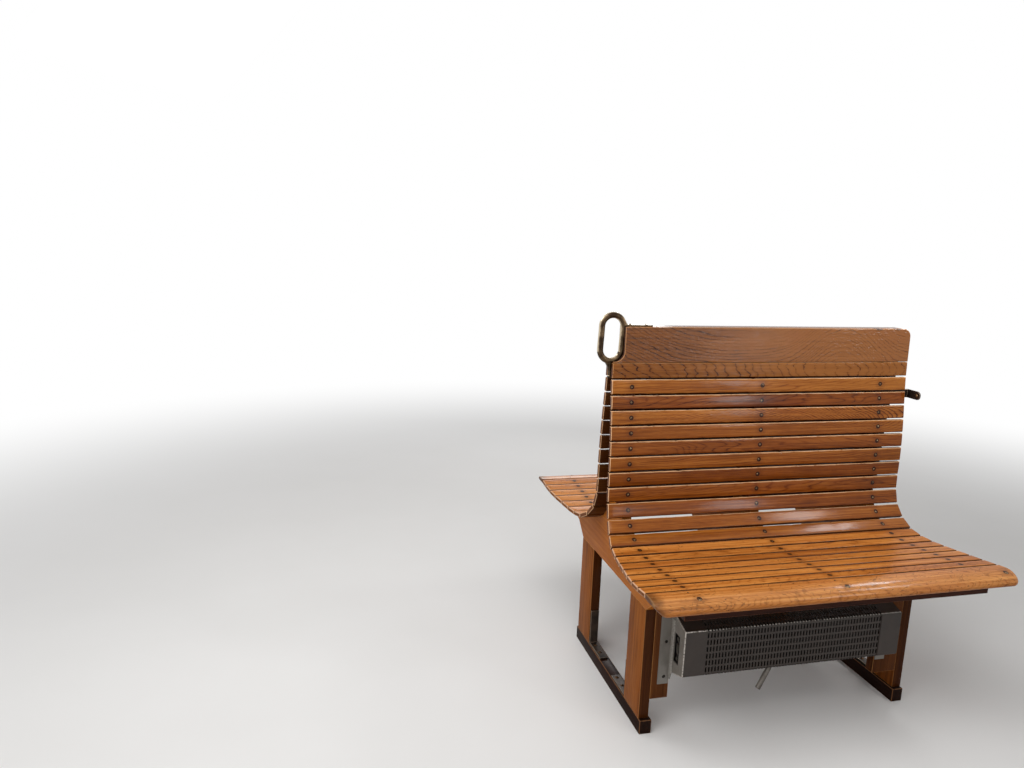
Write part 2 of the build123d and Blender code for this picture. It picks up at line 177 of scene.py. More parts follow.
def board(out, origin, ev, ew, low_end, high_end, hw, thick, rng, tone, pith,
          rf=2.4, rb=1.2, re=1.8, step=13.0, crown=0.3, ripple=0.18, bow=0.35, nicks=3, patch=None):
    """A board with its grain along X. origin is the middle of its shown face, ev runs up across it,
    ew out of it; low_end and high_end give X at its lower and upper edge. rf, rb and re are the arrises'
    radii at the face, the back and the ends; crown, ripple and bow are how far it is off true, nicks how
    many knocks its edges have, patch (x, half width, change) a place with another tone."""
    x_mid = (sum(low_end) / 2, sum(high_end) / 2)
    length = x_mid[1] - x_mid[0]
    spots = [(rng.uniform(12, length - 12), rng.choice((-1, 1)), rng.uniform(2, 7), rng.uniform(0.3, 1.1))
             for _ in range(nicks)]
    ends = [re * k for k in (0.0, 0.12, 0.4, 1.0)]
    at = ends + [length - e for e in ends] + list(np.arange(re + step, length - re - step / 2, step))
    for spot in spots:
        at += [spot[0] + spot[2] * k for k in (-1.6, -0.7, 0.0, 0.7, 1.6)]
    at = np.unique(np.clip(np.round(at, 3), 0, length))
    near = np.minimum(at, length - at)
    inset = np.where(near < re, re - np.sqrt(np.maximum(re * re - (re - near) ** 2, 0)), 0.0)
    seed = rng.random()
    worn = 1 + 0.45 * wave(at, seed, 1.0, 160, 61, 37)
    # round the section: side (1 upper), face (1 shown), angle on the arris, its edge value (wear and painted
    # highlight on the upper arris, painted shade on the lower)
    section = [(1, 1, a, sin_deg(2 * a)) for a in (0, 30, 60, 90)]
    section += [(k, 1, None, 0.0) for k in (0.66, 0.33, 0.0, -0.33, -0.66)]
    section += [(-1, 1, a, sin_deg(2 * a)) for a in (90, 120, 150, 180)]
    section += [(-1, -1, a, 0.0) for a in (180, 225, 270)]
    section += [(1, -1, a, 0.0) for a in (270, 315, 360)]
    v = np.zeros((len(at), len(section)))
    w = np.zeros_like(v)
    wear = np.zeros_like(v)
    for j, (side, face, angle, edge) in enumerate(section):
        r = np.maximum((rf * worn if face > 0 else rb + 0 * at) - inset, 0.25)
        half = hw - inset
        if angle is None:
            v[:, j] = side * (half - r)
            w[:, j] = -inset
        else:
            v[:, j] = side * (half - r) + r * cos_deg(angle)
            centre = -inset - r if face > 0 else -thick + inset + r
            w[:, j] = centre + r * sin_deg(angle)
        wear[:, j] = edge
        if face > 0:
            w[:, j] -= crown * (v[:, j] / hw) ** 2
            w[:, j] -= 0.5 * ripple + wave(at + 31 * v[:, j] / hw, seed + 1, 0.5 * ripple, 240, 110, 73)
            for place, edge_side, size, depth in spots:
                near_edge = np.exp(-((hw - edge_side * v[:, j]) / 2.2) ** 2)
                bite = depth * np.exp(-((at - place) / size) ** 2) * near_edge
                v[:, j] -= edge_side * bite
                w[:, j] -= 0.8 * bite
    v += wave(at, seed + 2, bow, 1400, 620)[:, None] * np.minimum(near / 60, 1)[:, None]
    t = (at / length)[:, None]
    across = (v / hw + 1) / 2
    x_low = low_end[0] * (1 - across) + low_end[1] * across
    x_high = high_end[0] * (1 - across) + high_end[1] * across
    x = x_low * (1 - t) + x_high * t
    end = np.where(near < 0.5 * re, 1.0, 0.0)[:, None] * np.ones_like(v)
    end_wear = np.where(at < length / 2, 1.35, 0.5)[:, None]
    wear = np.where((near > 0)[:, None] & (near < re - 0.01)[:, None], end_wear, wear)
    co = (np.array(origin) + x[..., None] * np.array((1.0, 0, 0)) + v[..., None] * np.array(ev)
          + w[..., None] * np.array(ew))
    loc = np.stack([x, v, w], -1)
    tones = np.full_like(v, tone)
    if patch:
        tones += patch[2] * np.exp(-np.abs((x - patch[0]) / patch[1]) ** 3)
    brd = np.stack([wear, end, tones], -1)
    out.rings(co, loc, brd, np.array(pith))


def slat_place(upper, lower, gap_up, gap_low, side):
    """Middle of the slat's shown face, its directions, half width and ends; side -1 is the front seat."""
    u = np.array((0.0, side * upper[0], upper[1]))
    low = np.array((0.0, side * lower[0], lower[1]))
    run = np.linalg.norm(low - u)
    ev = (u - low) / run
    ew = np.array((0.0, ev[2] * side, -ev[1] * side))
    near, far = -gap_up / 2, gap_low / 2 - run
    origin = u + ev * (near + far) / 2
    low_end = (AISLE_X - lower[2], AISLE_X - upper[2])
    high_end = (WALL_X + lower[3], WALL_X + upper[3])
    return origin, ev, ew, low_end, high_end, (near - far) / 2


def plate(out, origin, ev, ew, outline, thick, rf, rb, tone, pith, room):
    """A flat board of any outline, its grain along X and its shown face at ew = 0, with rounded arrises.
    room is how far in from each point of the outline the arris may reach."""
    pts = np.array(outline, float)
    ahead = np.roll(pts, -1, 0) - pts
    ahead /= np.linalg.norm(ahead, axis=1)[:, None]
    behind = np.roll(ahead, 1, 0)
    n_a = np.stack([-ahead[:, 1], ahead[:, 0]], -1)
    n_b = np.stack([-behind[:, 1], behind[:, 0]], -1)
    inward = n_a + n_b
    inward /= np.maximum((inward * n_a).sum(1), 0.4)[:, None]
    levels = [(rf + 1.5, 0.0, 0.0)]
    levels += [(rf * (1 - sin_deg(a)), -rf * (1 - cos_deg(a)), sin_deg(2 * a)) for a in (0, 30, 60, 90)]
    levels += [(rb * (1 - cos_deg(a)), -thick + rb * (1 - sin_deg(a)), 0.0) for a in (0, 45, 90)]
    levels.append((rb + 1.5, -thick, 0.0))
    co, loc, brd = [], [], []
    for inset, w, edge in levels:
        p = pts + inward * np.minimum(inset, room)[:, None]
        co.append(np.array(origin) + p[:, :1] * np.array((1.0, 0, 0)) + p[:, 1:] * np.array(ev)
                  + w * np.array(ew))
        loc.append(np.column_stack([p, np.full(len(p), w)]))
        brd.append(np.tile((edge, 0.0, tone), (len(p), 1)))
    out.rings(np.array(co), np.array(loc), np.array(brd), np.array(pith))


def arc(cx, cy, r, a0, a1, steps):
    """Points of an arc from angle a0 to a1, both ends included."""
    angles = [a0 + (a1 - a0) * k / steps for k in range(steps + 1)]
    return [(cx + r * cos_deg(a), cy + r * sin_deg(a)) for a in angles]


def softened(node, name, material, width, along, across, tone=0.0, pith=(0.0, -0.03, 0.02), merge=0.9,
             moves=()):
    """A CAD node's own shape with its sharp edges eased, and the wood's point data. moves: (y, z, new y)."""
    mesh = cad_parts[node].data.copy()
    bm = bmesh.new()
    bm.from_mesh(mesh)
    for old_y, old_z, new_y in moves:
        for v in bm.verts:
            if abs(abs(v.co.y) - old_y * MM) < 0.002 and abs(v.co.z - old_z * MM) < 0.002:
                v.co.y = math.copysign(new_y * MM, v.co.y)
    bmesh.ops.remove_doubles(bm, verts=bm.verts, dist=merge * MM)
    bmesh.ops.dissolve_limit(bm, angle_limit=math.radians(0.5), verts=bm.verts, edges=bm.edges)
    sharp = [e for e in bm.edges if len(e.link_faces) == 2 and e.calc_face_angle(0) > math.radians(28)]
    made = set(bmesh.ops.bevel(bm, geom=sharp, offset=width * MM, segments=3, profile=0.5,
                               affect="EDGES", clamp_overlap=True)["faces"])
    wear = [float(all(f in made for f in v.link_faces)) for v in bm.verts]
    bmesh.ops.triangulate(bm, faces=[f for f in bm.faces if len(f.verts) > 4], ngon_method="EAR_CLIP")
    bm.to_mesh(mesh)
    bm.free()
    co = np.array([v.co for v in mesh.vertices])
    middle = (co.max(0) + co.min(0)) / 2
    along, across = np.array(along, float), np.array(across, float)
    deep = np.cross(along, across)
    loc = np.stack([co @ along, (co - middle) @ across, (co - middle) @ deep], -1)
    brd = np.stack([wear, np.zeros(len(co)), np.full(len(co), tone)], -1)
    point_data(mesh, loc=loc, brd=brd, pith=np.tile(pith, (len(co), 1)))
    return finished(name, mesh, material, (node,))


# ---- Materials ----
class Value:
    """A value in a node tree: arithmetic on it adds the nodes that do it."""

    def __init__(self, shader, socket):
        self.shader, self.socket = shader, socket

    def __add__(self, other):
        return self.shader.math("ADD", self, other)

    def __sub__(self, other):
        return self.shader.math("SUBTRACT", self, other)

    def __rsub__(self, other):
        return self.shader.math("SUBTRACT", other, self)

    def __mul__(self, other):
        return self.shader.math("MULTIPLY", self, other)

    __radd__, __rmul__ = __add__, __mul__


class Shader:
    """Short names for the nodes of one material, or of the world."""

    def __init__(self, block, output="ShaderNodeOutputMaterial"):
        self.block = block
        block.use_nodes = True
        self.tree = block.node_tree
        self.tree.nodes.clear()
        self.end = self.tree.nodes.new(output).inputs["Surface"]

    def put(self, socket, value):
        if isinstance(value, Value):
            self.tree.links.new(value.socket, socket)
        elif value is not None:
            if socket.type == "RGBA":
                value = (*value, 1.0)
            socket.default_value = value

    def read(self, kind, output, inputs=(), **settings):
        """One output of a new node."""
        node = self.tree.nodes.new(kind)
        for key, value in settings.items():
            setattr(node, key, value)
        for key, value in dict(inputs).items():
            self.put(node.inputs[key], value)
        return Value(self, node.outputs[output])

    def math(self, op, *terms, clamp=False):
        return self.read("ShaderNodeMath", 0, enumerate(terms), operation=op, use_clamp=clamp)

    def vec(self, op, *terms):
        output = "Value" if op == "LENGTH" else "Vector"
        return self.read("ShaderNodeVectorMath", output, enumerate(terms), operation=op)

    def attr(self, name):
        return self.read("ShaderNodeAttribute", "Vector", attribute_name=name, attribute_type="GEOMETRY")

    def split(self, value):
        first = self.read("ShaderNodeSeparateXYZ", 0, {0: value})
        return [Value(self, socket) for socket in first.socket.node.outputs]

    def join(self, x, y, z):
        return self.read("ShaderNodeCombineXYZ", 0, enumerate((x, y, z)))

    def noise(self, at, scale=1.0, detail=2.0, rough=0.5, twist=0.0):
        return self.read("ShaderNodeTexNoise", "Fac", {"Vector": at, "Scale": scale, "Detail": detail,
                                                       "Roughness": rough, "Distortion": twist})

    def step(self, value, low, high, to_low=0.0, to_high=1.0):
        """A smooth step: to_low where the value is low, to_high where it is high."""
        return self.read("ShaderNodeMapRange", "Result",
                         {"Value": value, "From Min": low, "From Max": high, "To Min": to_low,
                          "To Max": to_high}, interpolation_type="SMOOTHSTEP")

    def ramp(self, value, *stops):
        colour = self.read("ShaderNodeValToRGB", "Color", {0: value})
        elements = colour.socket.node.color_ramp.elements
        while len(elements) < len(stops):
            elements.new(0.5)
        for element, (place, shade) in zip(elements, stops):
            element.position = place
            element.color = (*shade, 1.0)
        return colour

    def mix(self, amount, a, b, blend="MIX"):
        return self.read("ShaderNodeMix", 2, {0: amount, 6: a, 7: b}, data_type="RGBA", blend_type=blend)

    def bump(self, height, strength, distance, normal=None):
        return self.read("ShaderNodeBump", "Normal", {"Height": height, "Strength": strength,
                                                      "Distance": distance, "Normal": normal})

    def surface(self, **inputs):
        named = {key.replace("_", " "): value for key, value in inputs.items()}
        self.put(self.end, self.read("ShaderNodeBsdfPrincipled", "BSDF", named))
        return self.block


def srgb(r, g, b):
    """A colour as seen on a screen (0 to 255), as linear values."""
    return tuple(c / 255 / 12.92 if c <= 10 else ((c / 255 + 0.055) / 1.055) ** 2.4 for c in (r, g, b))


def wood(name, light, mid, dark, ring=3.2, grain=0.55, streak=0.5, cloud=1.0, blotch=0.35, wob=0.0025,
         uneven=1.1, thin=1.0, breaks=0.25, hills=None, pores=0.5, pore_size=1.0, specks=0.0, scratch=0.0,
         worn=(198, 140, 84), wear=0.7, grime_and_shade=0.55, gap_shade=None, gap_shade_from=-0.0020, screws=(), screw_v=0.0,
         corner_dirt=False, sides_stain_and_shade=None, painted_wall_sheen=0.0, stains=(), rough=0.42, coat=0.35,
         coat_rough=0.16, flecks=0.0):
    """Varnished wood that reads loc, brd and pith: the rings of a trunk cut by the board, fibres, pores and
    wear. ring is a year's width in mm; other lengths are in metres, along the board (x), across its shown
    face (v) and out of it (w)."""
    s = Shader(bpy.data.materials.new(name))
    loc, pith = s.attr("loc"), s.attr("pith")
    x, v, w = s.split(loc)
    edge, end, tone = s.split(s.attr("brd"))
    heart_v, heart_w, slope = s.split(pith)
    place = s.vec("ADD", loc, s.vec("MULTIPLY", pith, (41.0, 41.0, 41.0)))

    def grown(along, across, detail=2.0, roughness=0.5, twist=0.0):
        """Noise drawn out along the grain, with so many cells a metre along and across it."""
        return s.noise(s.vec("MULTIPLY", place, (along, across, across)), 1.0, detail, roughness, twist)

    # the place in the trunk: its heart drifts through the board, and hills = (rise, period, crest) bends the
    # rings into waves, stretched beyond the trough towards the aisle
    sway = grown(2.2, 14.0) - 0.5
    from_v = v + (grown(9.0, 45.0) - 0.5) * wob - heart_v
    from_w = w - heart_w + (x * slope + sway * 0.035)
    if hills:
        rise, period, crest_x = hills
        past_trough = s.math("MINIMUM", x - (crest_x - period / 2), 0.0)
        turn = past_trough * -0.42 + x - crest_x
        crest = s.math("COSINE", turn * (2 * math.pi / period))
        from_v = from_v - (crest * crest * 0.5 + crest) * rise + sway * 0.03
    radius = s.math("SQRT", from_v * from_v + from_w * from_w)
    # its years, of uneven width and clearness
    thick_years = s.read("ShaderNodeTexNoise", "Fac",
                         {"W": radius * (150.0 / ring), "Scale": 1.0, "Detail": 1.0}, noise_dimensions="1D")
    years = radius * (1000.0 / ring) + grown(7.0, 60.0, 2.0, 0.6) * uneven + thick_years * 2.4
    phase = s.math("FRACT", years)
    year = s.read("ShaderNodeTexWhiteNoise", "Value", {"W": s.math("FLOOR", years)}, noise_dimensions="1D")
    rings = s.ramp(phase, *((at, (grey,) * 3) for at, grey in (
        (0.0, 0.0), (0.07 * thin, 0.08), (0.2 * thin, 0.85), (0.5, 1.0), (1 - 0.1 * thin, 0.78), (1.0, 0.0))))
    broken = grown(40.0, 240.0, 3.0, 0.6)
    clear = s.step(broken, 0.30, 0.62, breaks, 1.0) * s.step(grown(5.0, 18.0), 0.25, 0.62, 0.3, 1.0)
    rings = 1.0 - (1.0 - rings) * (clear * (year * 0.7 + 0.4))
    # colour by rings, streaks, fibres, clouds and the board's own tone
    fibre = grown(16.0, 520.0, 3.0, 0.6)
    clouds = grown(4.5, 11.0, 3.0, 0.55)
    flame = s.step(slope, 0.12, 0.2, grain, grain * (1.0 if hills else 2.2))
    level = (rings - 0.78) * flame + 0.56
    level += (grown(2.6, 150.0, 4.0, 0.62) - 0.5) * (2.2 * streak) + (fibre - 0.5) * (0.9 * streak)
    level += (clouds - 0.5) * (1.1 * cloud) + tone * 0.26
    # painted sheen: lighter towards the wall end, darker towards the aisle
    if painted_wall_sheen:
        level -= s.step(x, 0.10, -0.32, -0.3 * painted_wall_sheen, painted_wall_sheen)
    base = s.ramp(level, (0.08, srgb(*dark)), (0.5, srgb(*mid)), (0.92, srgb(*light)))
    red = s.step(clouds, 0.48, 0.72) * blotch + s.step(tone, 0.0, -1.0) * 0.5
    base = s.mix(red, base, s.mix(1.0, base, (0.62, 0.40, 0.32), "MULTIPLY"))
    # open pores: short dark dashes in the early wood
    dash = grown(60.0 / pore_size, 1500.0 / pore_size, 1.0)
    pore = s.step(dash, 0.60, 0.72) * s.step(phase, 0.5, 0.05) * pores
    base = s.mix(pore, base, srgb(44, 20, 8))
    if specks:
        knocks = s.step(grown(120.0, 240.0, 1.0, 0.4, 0.6), 0.68, 0.74) * s.step(grown(9.0, 14.0), 0.42, 0.62)
        base = s.mix(knocks * specks, base, srgb(52, 24, 10))
    if scratch:
        turned = s.read("ShaderNodeVectorRotate", "Vector", {"Vector": place, "Angle": 0.6},
                        rotation_type="Z_AXIS")
        from_crack = s.read("ShaderNodeTexVoronoi", "Distance",
                            {"Vector": s.vec("MULTIPLY", turned, (20.0, 46.0, 20.0)), "Scale": 1.0,
                             "Randomness": 1.0}, feature="DISTANCE_TO_EDGE")
        cracks = s.step(from_crack, 0.026, 0.008) * s.step(grown(48.0, 95.0, 2.0, 0.6), 0.52, 0.60)
        base = s.mix(cracks * scratch, base, srgb(60, 28, 10))
    # worn upper arrises, their light partly a painted highlight; painted shade on the lower ones and in the
    # gaps; dark end grain
    up = s.math("MAXIMUM", edge, 0.0) * s.step(grown(70.0, 140.0, 3.0, 0.6), 0.22, 0.46)
    down = s.math("MAXIMUM", edge * -1.0, 0.0) * grime_and_shade
    base = s.mix(end * 0.62, base, srgb(74, 30, 14))
    base = s.mix(down, base, srgb(38, 16, 8))
    # the upper arrises' light colour: bare worn wood and a painted highlight
    base = s.mix(up * wear, base, srgb(*worn))
    # painted shade on the board's sides in the gaps and on its back face, less on the end grain
    if gap_shade:
        base = s.mix(s.step(w, gap_shade_from, gap_shade_from - 0.0016) * (0.85 - end * 0.6), base, srgb(*gap_shade))
    for at_x, at_v, long, tall in stains:
        away = s.vec("LENGTH", s.join((x - at_x) * (1 / long), (v - at_v) * (1 / tall), 0.0))
        base = s.mix(s.step(away + (broken - 0.5) * 1.2, 1.1, 0.7, 0.0, 0.8), base, srgb(46, 22, 10))
    # darker stain and painted shade on the legs' faces towards the front and back
    if sides_stain_and_shade:
        out = s.math("ABSOLUTE", v)
        side = s.math("MAXIMUM", s.step(out, (LEG_OUT - 1.2) * MM, (LEG_OUT - 0.3) * MM),
                      s.step(out, (LEG_IN + 1.2) * MM, (LEG_IN + 0.3) * MM))
        base = s.mix(side * 0.84, base, srgb(*sides_stain_and_shade))
    # around each screw: a faint darker halo, and painted shade in the sunk hole around its head
    if screws:
        near = [s.vec("LENGTH", s.join(x - column * MM, v - screw_v, 0.0)) for column in screws]
        near = s.math("MINIMUM", s.math("MINIMUM", near[0], near[1]), near[2])
        base = s.mix(s.step(near, 0.022, 0.006) * 0.28, base, srgb(86, 38, 14))
        base = s.mix(s.step(near, 0.0072, 0.0052) * 0.9, base, srgb(24, 10, 5))
    if corner_dirt:
        grey = s.noise(s.vec("MULTIPLY", place, (38.0, 44.0, 30.0)), 1.0, 3.0, 0.6)
        base = s.mix(s.step(x + grey * 0.05, -0.412, -0.452) * 0.8, base, srgb(78, 46, 24))
        base = s.mix(s.step(grey, 0.56, 0.70) * 0.42, base, srgb(96, 54, 26))
    # the varnish: brushed waves, dulled where it is worn
    waves = grown(26.0, 60.0)
    shade = s.math("ADD", waves * 0.16 + (rough - 0.08), up * 0.15, clamp=True)
    normal = s.bump(waves, 0.35, 0.0012)
    normal = s.bump(rings * 0.25 + fibre * 0.5 - pore, 0.25, 0.0002, normal)
    coat_normal = s.bump(waves, 0.35, 0.0010)
    if flecks:
        coat_normal = s.bump(grown(70.0, 230.0), flecks, 0.0016, coat_normal)
        coat_normal = s.bump(rings, 0.5, 0.0005, coat_normal)
    return s.surface(Base_Color=base, Roughness=shade, Coat_Weight=coat, Coat_Roughness=coat_rough,
                     Normal=normal, Coat_Normal=coat_normal, IOR=1.08)


def metal(name, dark, light, bright, metallic=1.0, rough=0.42, scale=1.0):
    """Cast or bare metal with a patina, rubbed bright and lit by a painted highlight where the point data
    says so.
    """
    s = Shader(bpy.data.materials.new(name))
    at = s.read("ShaderNodeTexCoord", "Object")
    fine = s.noise(at, 420.0 * scale, 4.0, 0.6)
    broad = s.noise(at, 38.0 * scale, 3.0, 0.55)
    base = s.mix(s.step(broad, 0.32, 0.68), srgb(*dark), srgb(*light))
    base = s.mix(s.step(fine, 0.55, 0.75) * 0.35, base, srgb(*(0.6 * c for c in dark)))
    edge = s.split(s.attr("brd"))[0]
    rubbed_and_glint = s.step(edge + (broad - 0.5) * 0.7, 0.35, 0.8) * 0.9
    base = s.mix(rubbed_and_glint, base, srgb(*bright))
    shade = fine * 0.22 + (rough - 0.11) - rubbed_and_glint * 0.14
    return s.surface(Base_Color=base, Roughness=shade, Metallic=metallic,
                     Normal=s.bump(fine + broad * 0.6, 0.22, 0.0004))


def paint(name, colour, grime_and_shade, bare, grime_amount):
    """Sheet metal with old paint: dusty, with bare bright edges and painted highlights where the point data
    says so.
    """
    s = Shader(bpy.data.materials.new(name))
    at = s.read("ShaderNodeTexCoord", "Object")
    fine = s.noise(at, 900.0, 3.0, 0.6)
    broad = s.noise(at, 22.0, 4.0, 0.6)
    base = s.mix(s.step(broad, 0.36, 0.7) * grime_amount, srgb(*colour), srgb(*grime_and_shade))
    base = s.mix(s.step(fine, 0.6, 0.8) * 0.25, base, srgb(*grime_and_shade))
    edge = s.split(s.attr("brd"))[0]
    chips = s.step(s.noise(at, 260.0, 3.0, 0.6), 0.36, 0.56)
    rubbed_and_glint = s.math("MULTIPLY", s.math("MAXIMUM", edge, 0.0), chips, clamp=True)
    base = s.mix(rubbed_and_glint, base, srgb(*bare))
    return s.surface(Base_Color=base, Roughness=broad * 0.2 + 0.32, Metallic=rubbed_and_glint * 0.4,
                     Normal=s.bump(fine, 0.12, 0.0003))


# colour of the painted shade in the gaps between boards
GAP_SHADE = (44, 18, 8)
BACK_OAK = wood("oak_back", (178, 112, 44), (136, 74, 20), (76, 34, 8), ring=2.6, grain=0.5, streak=0.5,
                cloud=0.6, worn=(230, 182, 136), wear=0.95, coat=0.32, blotch=0.4, gap_shade=GAP_SHADE, grime_and_shade=0.95,
                screws=SCREW_X)
TOP_OAK = wood("oak_top", (146, 90, 40), (118, 67, 23), (46, 21, 6), ring=9.0, grain=0.95, streak=0.35,
               cloud=0.5, blotch=0.25, wob=0.005, thin=0.7, hills=(0.052, 0.56, 0.237), breaks=0.35,
               coat=0.6, coat_rough=0.11, flecks=0.95, painted_wall_sheen=0.3, gap_shade=GAP_SHADE,
               stains=((0.345, 0.0445, 0.011, 0.0035), (0.408, 0.0445, 0.008, 0.003)))
BAND_OAK = wood("oak_band", (148, 92, 40), (118, 67, 22), (46, 21, 6), ring=8.0, grain=0.55, streak=0.4,
                cloud=0.5, blotch=0.25, wob=0.004, uneven=1.2, thin=0.7, breaks=0.2, coat=0.32,
                coat_rough=0.14, flecks=0.9, painted_wall_sheen=0.2, gap_shade=GAP_SHADE, grime_and_shade=0.9)
SEAT_OAK = wood("oak_seat", (212, 140, 68), (170, 99, 38), (96, 46, 14), ring=2.4, grain=0.42, specks=0.95,
                streak=0.65, cloud=0.7, scratch=0.4, worn=(232, 188, 154), wear=0.6, coat=0.15,
                gap_shade=(38, 15, 6), gap_shade_from=-0.0007, grime_and_shade=0.9, pore_size=1.6, screws=SCREW_X)
NOSE_OAK = wood("oak_nosing", (210, 142, 76), (172, 102, 42), (88, 42, 12), ring=2.2, grain=0.4, specks=1.0,
                worn=(222, 172, 116), wear=0.5, blotch=0.5, streak=0.65, cloud=0.8, scratch=0.65, wob=0.001,
                coat=0.32, pores=0.9, pore_size=2.2, corner_dirt=True, screws=NOSE_SCREW_X, screw_v=0.0076)
# its faces towards the front and back get a darker stain and painted shade
FRAME_OAK = wood("oak_frame", (166, 100, 40), (126, 68, 20), (76, 36, 11), ring=2.8, grain=0.3, streak=0.6,
                 cloud=0.7, coat=0.1, rough=0.46, sides_stain_and_shade=(44, 17, 6))
BEARER_OAK = wood("oak_bearer", (190, 117, 45), (162, 90, 27), (112, 55, 15), ring=3.4, grain=0.16,
                  streak=0.35, cloud=0.8, coat=0.1, rough=0.46, uneven=0.5)
BLOCK_OAK = wood("oak_block", (104, 60, 26), (80, 42, 15), (46, 22, 8), ring=2.8, grain=0.3,
                 coat=0.1, rough=0.5)
RED_OAK = wood("oak_red", (100, 42, 18), (70, 26, 10), (40, 14, 6), ring=2.8, grain=0.3, streak=0.8,
               worn=(150, 90, 52), coat=0.12, rough=0.46)
RAIL_WOOD = wood("rail_dark_wood", (66, 34, 22), (44, 21, 14), (26, 12, 8), ring=3.0, grain=0.3,
                 worn=(120, 72, 46), coat=0.12, rough=0.5)
SILL_WOOD = wood("sill_dark_wood", (47, 26, 17), (31, 16, 10), (18, 9, 6), ring=3.0, grain=0.3, streak=0.8,
                 worn=(150, 104, 70), wear=0.65, coat=0.12, rough=0.58)
BRONZE = metal("handle_bronze", (52, 40, 30), (94, 77, 57), (208, 192, 166), rough=0.34)
HEATER_SCREW = metal("heater_screw", (34, 31, 28), (66, 62, 57), (236, 234, 228), rough=0.26, scale=4.0)
SCREW_STEEL = metal("screw_steel", (92, 70, 47), (152, 126, 94), (232, 216, 188), rough=0.3, scale=4.0)
SEAT_SCREW = metal("screw_dark", (44, 30, 20), (84, 60, 40), (150, 120, 88), rough=0.4, scale=4.0)
DARK_STEEL = metal("dark_steel", (40, 32, 27), (64, 51, 42), (150, 132, 112), metallic=0.8, rough=0.5)
TUBE_STEEL = metal("tube_steel", (70, 66, 62), (112, 106, 100), (180, 174, 166), rough=0.4)
CLIP_STEEL = metal("bare_steel", (120, 117, 110), (158, 155, 148), (215, 214, 208), rough=0.36)
HEATER_DARK = metal("heater_dark", (30, 28, 27), (48, 44, 42), (110, 104, 96), metallic=0.3, rough=0.6)
HEATER_PAINT = paint("heater_paint", (124, 119, 112), (88, 81, 73), (206, 202, 194), 0.45)
# the heater's grey paint again, painted darker: painted shade for the front under the seat and its end cap
HEATER_SHADED = paint("heater_paint_shaded", (47, 36, 29), (36, 27, 21), (206, 199, 190), 0.6)

# ---- Back and seat ----
rng = random.Random(11)
# front back slats, from the top: tone, heart across, deep (m), drift
FRONT_GRAIN = [
    (0.3, (0.05, -0.09, 0.03)), (-0.65, (0.01, -0.05, 0.05)), (-0.3, (-0.06, -0.10, 0.19)),
    (-0.3, (0.05, -0.06, 0.10)), (-0.5, (-0.02, -0.07, 0.04)), (-0.2, (0.05, -0.07, 0.03)),
    (-0.6, (-0.07, -0.05, 0.05)), (-0.4, (0.03, -0.08, 0.03)), (-0.5, (-0.05, -0.05, 0.06)),
    (-0.25, (0.06, -0.04, 0.03)), (-0.2, (-0.05, -0.06, 0.04)),
]


def any_grain(spread=0.5):
    """A tone and a heart for a board that the photo doesn't show well."""
    tone = rng.uniform(-spread, spread)
    return tone, (rng.uniform(-0.07, 0.07), -rng.uniform(0.03, 0.1), rng.uniform(0.01, 0.1))


def bench_side(side, label):
    slats = Boards()
    for k, (p, q) in enumerate(zip(BACK_LINES[1:-1], BACK_LINES[2:])):
        tone, pith = FRONT_GRAIN[k] if side < 0 else any_grain()
        board(slats, *slat_place(p, q, GAP, GAP, side), SLAT_T, rng, tone, pith,
              patch=(8.0, 105.0, -0.6) if side < 0 and k == 1 else None)
    slats.make(f"slats_back_{label}", BACK_OAK, "back_oak", f"back_slats_{label}")
    seat = Boards()
    for p, q in zip(SEAT_LINES[:-1], SEAT_LINES[1:]):
        tone, pith = any_grain(0.35)
        # the rear seat's slats are painted lighter: a painted pool of light
        tone += 0.35 * (side > 0)
        board(seat, *slat_place(p, q, GAP, GAP, side), SLAT_T, rng, tone, pith, nicks=5, re=3.2)
    seat.make(f"slats_seat_{label}", SEAT_OAK, "seat_oak", f"seat_slats_{label}")


bench_side(-1, "front")
bench_side(1, "rear")

bands = Boards()
for side in (-1, 1):
    board(bands, *slat_place(BACK_LINES[0], BACK_LINES[1], GROOVE, GAP, side), SLAT_T, rng, 0.0,
          (-0.026, -0.205, 0.29), rf=1.6)
bands.make("boards_band", BAND_OAK, "back_oak", "band_boards")

tops = Boards()
for side in (-1, 1):
    origin, ev, ew, low_end, high_end, hw = slat_place(TOP_EDGE, BACK_LINES[0], 0.0, GROOVE, side)
    cut_v = -hw + (CUT_Z - BACK_LINES[0][1]) - GROOVE / 2
    cut_x = AISLE_X + CUT_DEEP
    outline = [(AISLE_X + k * 40.0, -hw) for k in range(22)] + [(WALL_X, -hw)]
    outline += arc(WALL_X - TOP_R, hw - TOP_R, TOP_R, 0, 90, 8)
    outline += [(WALL_X - TOP_R - k * 40.0, hw) for k in range(1, 21)]
    outline += [(cut_x, hw)] + arc(cut_x - CUT_R, cut_v + CUT_R, CUT_R, 0, -90, 8)
    outline += [(AISLE_X, cut_v)]
    # the strip below the cut-out is too narrow for full arrises
    room = [0.38 * max(v, cut_v) + 0.38 * hw if x < cut_x - 0.1 and v < cut_v + 25.0 else 99.0
            for x, v in outline]
    plate(tops, origin, ev, ew, outline, SLAT_T, 1.8, 0.8, 0.1, (-0.5, 0.0, 0.0), room)
tops.make("boards_top", TOP_OAK, "top_oak", "top_boards")
softened("top_core", "board_core", TOP_OAK, 1.0, (1, 0, 0), (0, 0, 1), tone=0.3)


